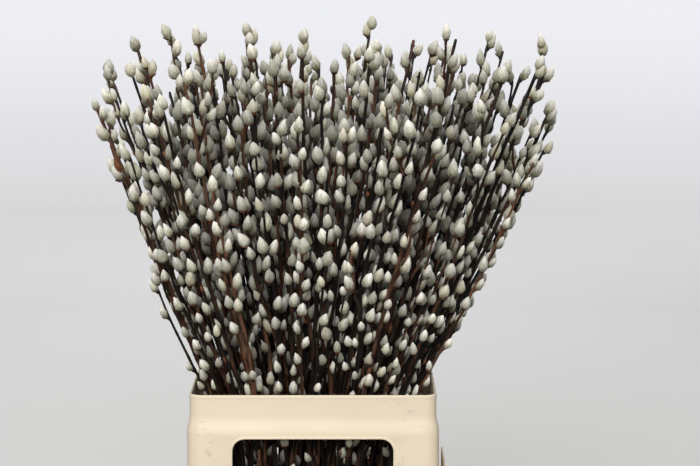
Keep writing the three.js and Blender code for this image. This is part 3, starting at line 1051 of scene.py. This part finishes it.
WINDOW = SimpleNamespace(width=182, top=330, bottom=218, corner=14)
STEP_TOP = 356
STEP_BOTTOM = 334.5
COLLAR_CORNER = 15
LEDGE_THICK = 4
FOOT_WIDTH = 236
FLOOR_EDGE = 3
HOLDER_PLATE = 2
HOLDER_FRONT_DROP = 8
EDGE = 0.8  # roundness of the container's free edges
CORNER_STEPS = 10
LEAST_CORNER = 0.8
STEP_POINTS = 9
RIM_BEAD = 0.25
UNDER_BEAD = ((0, 6), (0.04, 4.2), (0.2, 3.4))  # how far out and how far below the rim
LIP_SECTION = ((0.2, -0.6), (0.2, 0.35), (0.75, 0.85), (1.6, 0.95), (2.4, 0.75), (3.0, 0.2), (3.1, -0.6))


def rounded_rectangle(half_x, half_y, corner):
    """Points round a rectangle with round corners, anticlockwise seen from above."""
    turns = np.linspace(0, math.pi / 2, CORNER_STEPS + 1)
    points = []
    for quarter in range(4):
        sign_x = 1 if quarter in (0, 3) else -1
        sign_y = 1 if quarter in (0, 1) else -1
        centre = np.array([sign_x * (half_x - corner), sign_y * (half_y - corner)])
        turn = turns + quarter * math.pi / 2
        points.append(centre + corner * np.stack([np.cos(turn), np.sin(turn)], axis=-1))
    return np.concatenate(points)


def walls(profile, half_x, half_y, corner):
    """A closed wall: profile is the wall's section as (how far out, height), going round the section."""
    rings = []
    for out, z in profile:
        ring = rounded_rectangle(half_x + out, half_y + out, max(corner + out, LEAST_CORNER))
        rings.append(np.column_stack([ring, np.full(len(ring), z)]))
    return rings


def loft(rings, closed):
    """Rings of points joined into a mesh: round the section if closed, else with both ends filled."""
    sides = len(rings[0])
    faces = rings_faces(len(rings), sides, closed=True) if closed else capped_faces(len(rings), sides)
    return np.concatenate(rings), faces


def mesh_from(name, points, faces):
    mesh = bpy.data.meshes.new(name)
    mesh.from_pydata((points * MM).tolist(), [], faces)
    work = bmesh.new()
    work.from_mesh(mesh)
    bmesh.ops.recalc_face_normals(work, faces=work.faces)
    work.to_mesh(mesh)
    work.free()
    return mesh


def round_edges(piece, width, angle):
    """Bevels a piece's hard edges and leaves the result in its mesh."""
    bevel = piece.modifiers.new("bevel", "BEVEL")
    bevel.width = width * MM
    bevel.segments = 3
    bevel.limit_method = "ANGLE"
    bevel.angle_limit = math.radians(angle)
    apply_modifiers(piece)


def apply_modifiers(piece):
    depsgraph = bpy.context.evaluated_depsgraph_get()
    old = piece.data
    piece.data = bpy.data.meshes.new_from_object(piece.evaluated_get(depsgraph))
    piece.data.name = old.name
    piece.modifiers.clear()
    bpy.data.meshes.remove(old)


def cut(piece, points, faces):
    """Takes a closed shape out of a piece."""
    tool = new_object("cutter", mesh_from("cutter", points, faces))
    boolean = piece.modifiers.new("cut", "BOOLEAN")
    boolean.operation = "DIFFERENCE"
    boolean.solver = "EXACT"
    boolean.object = tool
    apply_modifiers(piece)
    mesh = tool.data
    bpy.data.objects.remove(tool)
    bpy.data.meshes.remove(mesh)


def window_ring(grow, y):
    """The window's outline, made larger by grow, at one place along Y."""
    half_z = (WINDOW.top - WINDOW.bottom) / 2 + grow
    x, z = rounded_rectangle(WINDOW.width / 2 + grow, half_z, WINDOW.corner + grow).T
    return np.column_stack([x, np.full(len(x), y), z + (WINDOW.top + WINDOW.bottom) / 2])


def window_cutter(reach):
    return loft([window_ring(0, y) for y in (-reach, reach)], closed=False)


def window_lip(face_y, outward):
    """A half-round moulded bead round the window, on the wall's outer face."""
    return loft([window_ring(grow, face_y + outward * out) for grow, out in LIP_SECTION], closed=True)


def arc(centre_out, centre_z, radius, start, end, steps):
    turns = np.radians(np.linspace(start, end, steps))
    return [(centre_out + radius * math.cos(t), centre_z + radius * math.sin(t)) for t in turns]


def shade(piece):
    piece.data.shade_smooth()
    piece.data.set_sharp_from_angle(angle=math.radians(40))


def half_sizes(inset):
    """Half the collar's size along X and Y in millimetres, less an inset."""
    return [(high - low) / 2 / MM - inset for low, high in zip(COLLAR_LOW[:2], COLLAR_HIGH[:2])]


def make_collar(plastic):
    """The windowed wall: narrow above a soft step and wide below it, with a bead along its rim."""
    half_x, half_y = half_sizes(STEP_OUT)
    bottom = COLLAR_LOW.z / MM
    lip = WALL / 2
    step = [
        (STEP_OUT * float(smooth(1 - t)), in_range((STEP_BOTTOM, STEP_TOP), t))
        for t in np.linspace(0, 1, STEP_POINTS)
    ]
    profile = [(STEP_OUT - 0.7, bottom), (STEP_OUT, bottom + EDGE), *step]
    profile += [(out, RIM - below) for out, below in UNDER_BEAD] + [(RIM_BEAD, RIM - lip)]
    profile += arc(-lip + RIM_BEAD / 2, RIM - lip, lip + RIM_BEAD / 2, 0, 180, 7)[1:]
    profile += [(-WALL, RIM - UNDER_BEAD[0][1]), *[(out - WALL, z) for out, z in reversed(step)]]
    profile += [(STEP_OUT - WALL, bottom + EDGE), (STEP_OUT - WALL + 0.7, bottom)]
    points, faces = loft(walls(profile, half_x, half_y, COLLAR_CORNER), closed=True)
    piece = add_piece("collar_shell", mesh_from("collar", points, faces), plastic, ["collar"])
    cut(piece, *window_cutter(half_y * 2))
    round_edges(piece, 0.7, 50)
    add_to(piece, [window_lip(side * (half_y + STEP_OUT), side) for side in (-1, 1)])
    shade(piece)


def add_to(piece, shapes):
    """Adds closed shapes to a piece's mesh."""
    work = bmesh.new()
    work.from_mesh(piece.data)
    for points, faces in shapes:
        extra = mesh_from("extra", points, faces)
        work.from_mesh(extra)
        bpy.data.meshes.remove(extra)
    work.to_mesh(piece.data)
    work.free()


def make_bucket(plastic):
    """The bucket narrows to its foot. Its neck stands inside the collar, whose edge rests on its ledge."""
    half_x, half_y = half_sizes(WALL + GAP)
    neck_top = BUCKET_TOP / MM
    ledge_top = COLLAR_LOW.z / MM - GAP
    ledge_low = ledge_top - LEDGE_THICK
    ledge_out = WALL + GAP
    narrow = half_x - FOOT_WIDTH / 2

    def wall_out(z):
        return -narrow * (1 - z / neck_top)

    def wall_at(*heights, inwards=0):
        return [(wall_out(z) - inwards, z) for z in heights]

    profile = [(wall_out(0) - FLOOR_EDGE, 0), (wall_out(0) - 1, 0.25), *wall_at(FLOOR_EDGE, 40, ledge_low)]
    profile += [(ledge_out - EDGE, ledge_low), (ledge_out, ledge_low + EDGE)]
    profile += [(ledge_out, ledge_top - EDGE), (ledge_out - EDGE, ledge_top)]
    profile += wall_at(ledge_top, neck_top - 1)
    profile += [(wall_out(neck_top) - EDGE, neck_top), (wall_out(neck_top) - WALL + EDGE, neck_top)]
    profile += wall_at(neck_top - 1, 8, inwards=WALL)
    profile += [(wall_out(4) - WALL - 2, 4), (wall_out(WALL) - WALL - 6, WALL)]
    rings = walls(profile, half_x, half_y, COLLAR_CORNER + STEP_OUT - WALL - GAP)
    mesh = mesh_from("bucket", *loft(rings, closed=False))
    shade(add_piece("bucket_shell", mesh, plastic, ["bucket"]))


def make_holder(plastic):
    """The pocket for a delivery note on the right wall, open above and at both ends."""
    back, near_end, bottom = np.array(HOLDER_LOW) / MM
    front, far_end, back_top = np.array(HOLDER_HIGH) / MM
    front_top = back_top - HOLDER_FRONT_DROP
    inner_back = back + HOLDER_PLATE
    inner_front = front - HOLDER_PLATE
    inner_bottom = bottom + HOLDER_PLATE
    section = [
        (back, bottom), (front, bottom), (front, front_top), (inner_front, front_top),
        (inner_front, inner_bottom), (inner_back, inner_bottom), (inner_back, back_top), (back, back_top),
    ]
    rings = [np.array([(x, y, z) for x, z in section]) for y in (near_end, far_end)]
    mesh = mesh_from("letter_holder", *loft(rings, closed=False))
    piece = add_piece("letter_pocket", mesh, plastic, ["letter_holder"])
    round_edges(piece, 0.5, 30)
    shade(piece)


# ---- Branches ----

SLOTS = ("bark", "catkin", "bud_scale")


def add_stalk(surface, item):
    points, faces, grain = tube(item.path, item.radii_along, SIDES[item.kind])
    surface.add(points, faces, grain, (*item.tone, 0))


def add_bare_node(bark, scales, item, at, turn):
    """The small knob of a node without a catkin, on some with a closed bud."""
    middle, way, radius = on_stalk(item, at)
    knob = middle + across(way, turn) * (radius + KNOB_SEAT[0]) + way * KNOB_SEAT[1]
    add_cushion(bark, item, at, turn, knob, 0.75)
    if item.rng.random() < BUD_SHARE:
        add_bud(scales, item, at, turn)


def add_catkin(bark, silk, scales, item, catkin, templates):
    """A catkin, the cushion under it and, on some, its scale."""
    if catkin.scale > 1 - CLOSED_SHARE:
        add_closed_catkin(scales, catkin)
        return
    shape = templates[catkin.template]
    points = orient(shape.points, catkin.base, catkin.way, catkin.roll, catkin.width, catkin.length)
    silk.add(points, shape.faces, shape.grain, (catkin.seed, catkin.warm, catkin.light))
    if catkin.at < item.length[-1]:
        add_cushion(bark, item, catkin.at, catkin.turn, catkin.base + catkin.way, 1.0)
    if catkin.scale < SCALE_SHARE:
        add_scale(scales, catkin)


def make_branches():
    stalks = grow_stalks()
    for index, item in enumerate(stalks):
        finish_stalk(item, index)
    plan_catkins(stalks)
    templates = [catkin_template(i) for i in range(TEMPLATES)]
    materials = (bark_material(), catkin_material(), scale_material())
    for k in range(BRANCHES):
        number = f"{k + 1:02d}"
        bark, silk, scales = surfaces = (Surface(), Surface(), Surface())
        for item in stalks:
            if item.plan.number != k:
                continue
            add_stalk(bark, item)
            for catkin in item.catkins:
                add_catkin(bark, silk, scales, item, catkin, templates)
            for at, turn in item.bare:
                add_bare_node(bark, scales, item, at, turn)
        names = (f"bark_{number}", f"catkins_{number}", f"bud_scales_{number}")
        replaced = ([f"branch_{number}"], [], [])
        for surface, name, made, slot, nodes in zip(surfaces, names, materials, SLOTS, replaced):
            if surface.count:
                surface.make(name, made, slot, nodes)


# ---- Stage ----

STAGE_RADIUS = 9.0
STAGE_TOP = 7.0
STAGE_SIDES = 96
COVE_RADIUS = 3.0
FLOOR_RINGS = [(0.01, 0.0), (2.0, 0.0)]
# Painted light on the stage, at shares of its radius: its colour, painted darker towards the middle, and a
# painted glow, though the stage is no lamp.
STAGE_PAINTED_SHADE_COLOURS = [
    (0.1, (0.46, 0.46, 0.455)),
    (0.45, (0.6, 0.6, 0.6)),
    (0.8, (0.75, 0.75, 0.76)),
]
STAGE_PAINTED_GLOW = [
    (0.13, (0.175, 0.170, 0.162)),
    (0.19, (0.155, 0.152, 0.148)),
    (0.25, (0.135, 0.134, 0.133)),
    (0.333, (0.124, 0.123, 0.123)),
    (0.39, (0.184, 0.183, 0.184)),
    (0.467, (0.326, 0.325, 0.330)),
    (0.52, (0.432, 0.431, 0.437)),
    (0.59, (0.517, 0.515, 0.524)),
    (0.667, (0.547, 0.545, 0.557)),
    (0.76, (0.567, 0.568, 0.588)),
    (0.86, (0.660, 0.665, 0.700)),
]
# Place, aim, side of the square and power of each light.
LIGHTS = {
    "overhead": ((0, 0, 6.6), (0, 0, 0), 7, 98),
    "key": ((-0.5, -3.2, 1.9), (0, 0, 0.45), 1.8, 121),
    "right": ((3.2, -0.6, 1.8), (0, 0, 0.5), 2.0, 31),
    "left": ((-3.2, 0.6, 1.8), (0, 0, 0.5), 2.0, 26),
    "back": ((-0.1, 3.4, 2.7), (0, 0, 0.5), 2.2, 72),
}
WORLD_COLOUR = (0.97, 0.98, 1, 1)
WORLD_STRENGTH = 0.12


def stage_mesh():
    turns = np.linspace(0, math.pi / 2, 13)
    flat = STAGE_RADIUS - COVE_RADIUS
    cove = [(flat + COVE_RADIUS * math.sin(t), COVE_RADIUS * (1 - math.cos(t))) for t in turns]
    turn = turns_round(STAGE_SIDES)
    rings = [
        np.column_stack([r * np.cos(turn), r * np.sin(turn), np.full(STAGE_SIDES, z)])
        for r, z in [*FLOOR_RINGS, *cove, (STAGE_RADIUS, STAGE_TOP)]
    ]
    mesh = bpy.data.meshes.new("studio")
    faces = rings_faces(len(rings), STAGE_SIDES) + [tuple(range(STAGE_SIDES))]
    mesh.from_pydata(np.concatenate(rings).tolist(), [], faces)
    mesh.shade_smooth()
    return mesh


def make_stage():
    """A pale floor that curves up into a round wall, far enough out for a camera on any side, with painted
    shade towards the middle and a painted glow.
    """
    values = {"Roughness": 0.9, "Specular IOR Level": 0.1, "Emission Strength": 1.0}
    made, tree, shader = material("studio", values)
    flat = scaled(tree, node(tree, "ShaderNodeTexCoord", {}).outputs["Object"], (1, 1, 0))
    distance = node(tree, "ShaderNodeVectorMath", {0: flat}, operation="LENGTH").outputs["Value"]
    share = between(tree, distance, 0, STAGE_RADIUS)
    # Painted light: the colour is painted darker towards the middle, and the stage glows by itself.
    painted_light_looks = {"Base Color": STAGE_PAINTED_SHADE_COLOURS, "Emission Color": STAGE_PAINTED_GLOW}
    fill_inputs(tree, shader, {label: ramp(tree, share, stops) for label, stops in painted_light_looks.items()})
    mesh = stage_mesh()
    mesh.materials.append(made)
    studio = new_object("studio", mesh)
    studio.visible_diffuse = False
    studio.visible_glossy = False


def area_light(name, place, aim, size, power):
    data = bpy.data.lights.new(name, "AREA")
    data.shape = "RECTANGLE"
    data.size = data.size_y = size
    data.energy = power
    light = new_object(name, data)
    light.location = place
    light.rotation_euler = (Vector(aim) - Vector(place)).to_track_quat("-Z", "Y").to_euler()
    light.visible_camera = False


def make_lights():
    for name, values in LIGHTS.items():
        area_light(name, *values)
    world = bpy.data.worlds.new("studio_light")
    world.use_nodes = True
    background = world.node_tree.nodes["Background"]
    fill_inputs(world.node_tree, background, {"Color": WORLD_COLOUR, "Strength": WORLD_STRENGTH})
    bpy.context.scene.world = world
    bpy.context.scene.view_settings.view_transform = "Standard"


make_camera()
make_stage()
make_lights()
make_collar(plastic_material("collar", CREAM))
make_bucket(plastic_material("bucket", CREAM))
make_holder(plastic_material("letter_holder", DARKER_CREAM))
make_branches()
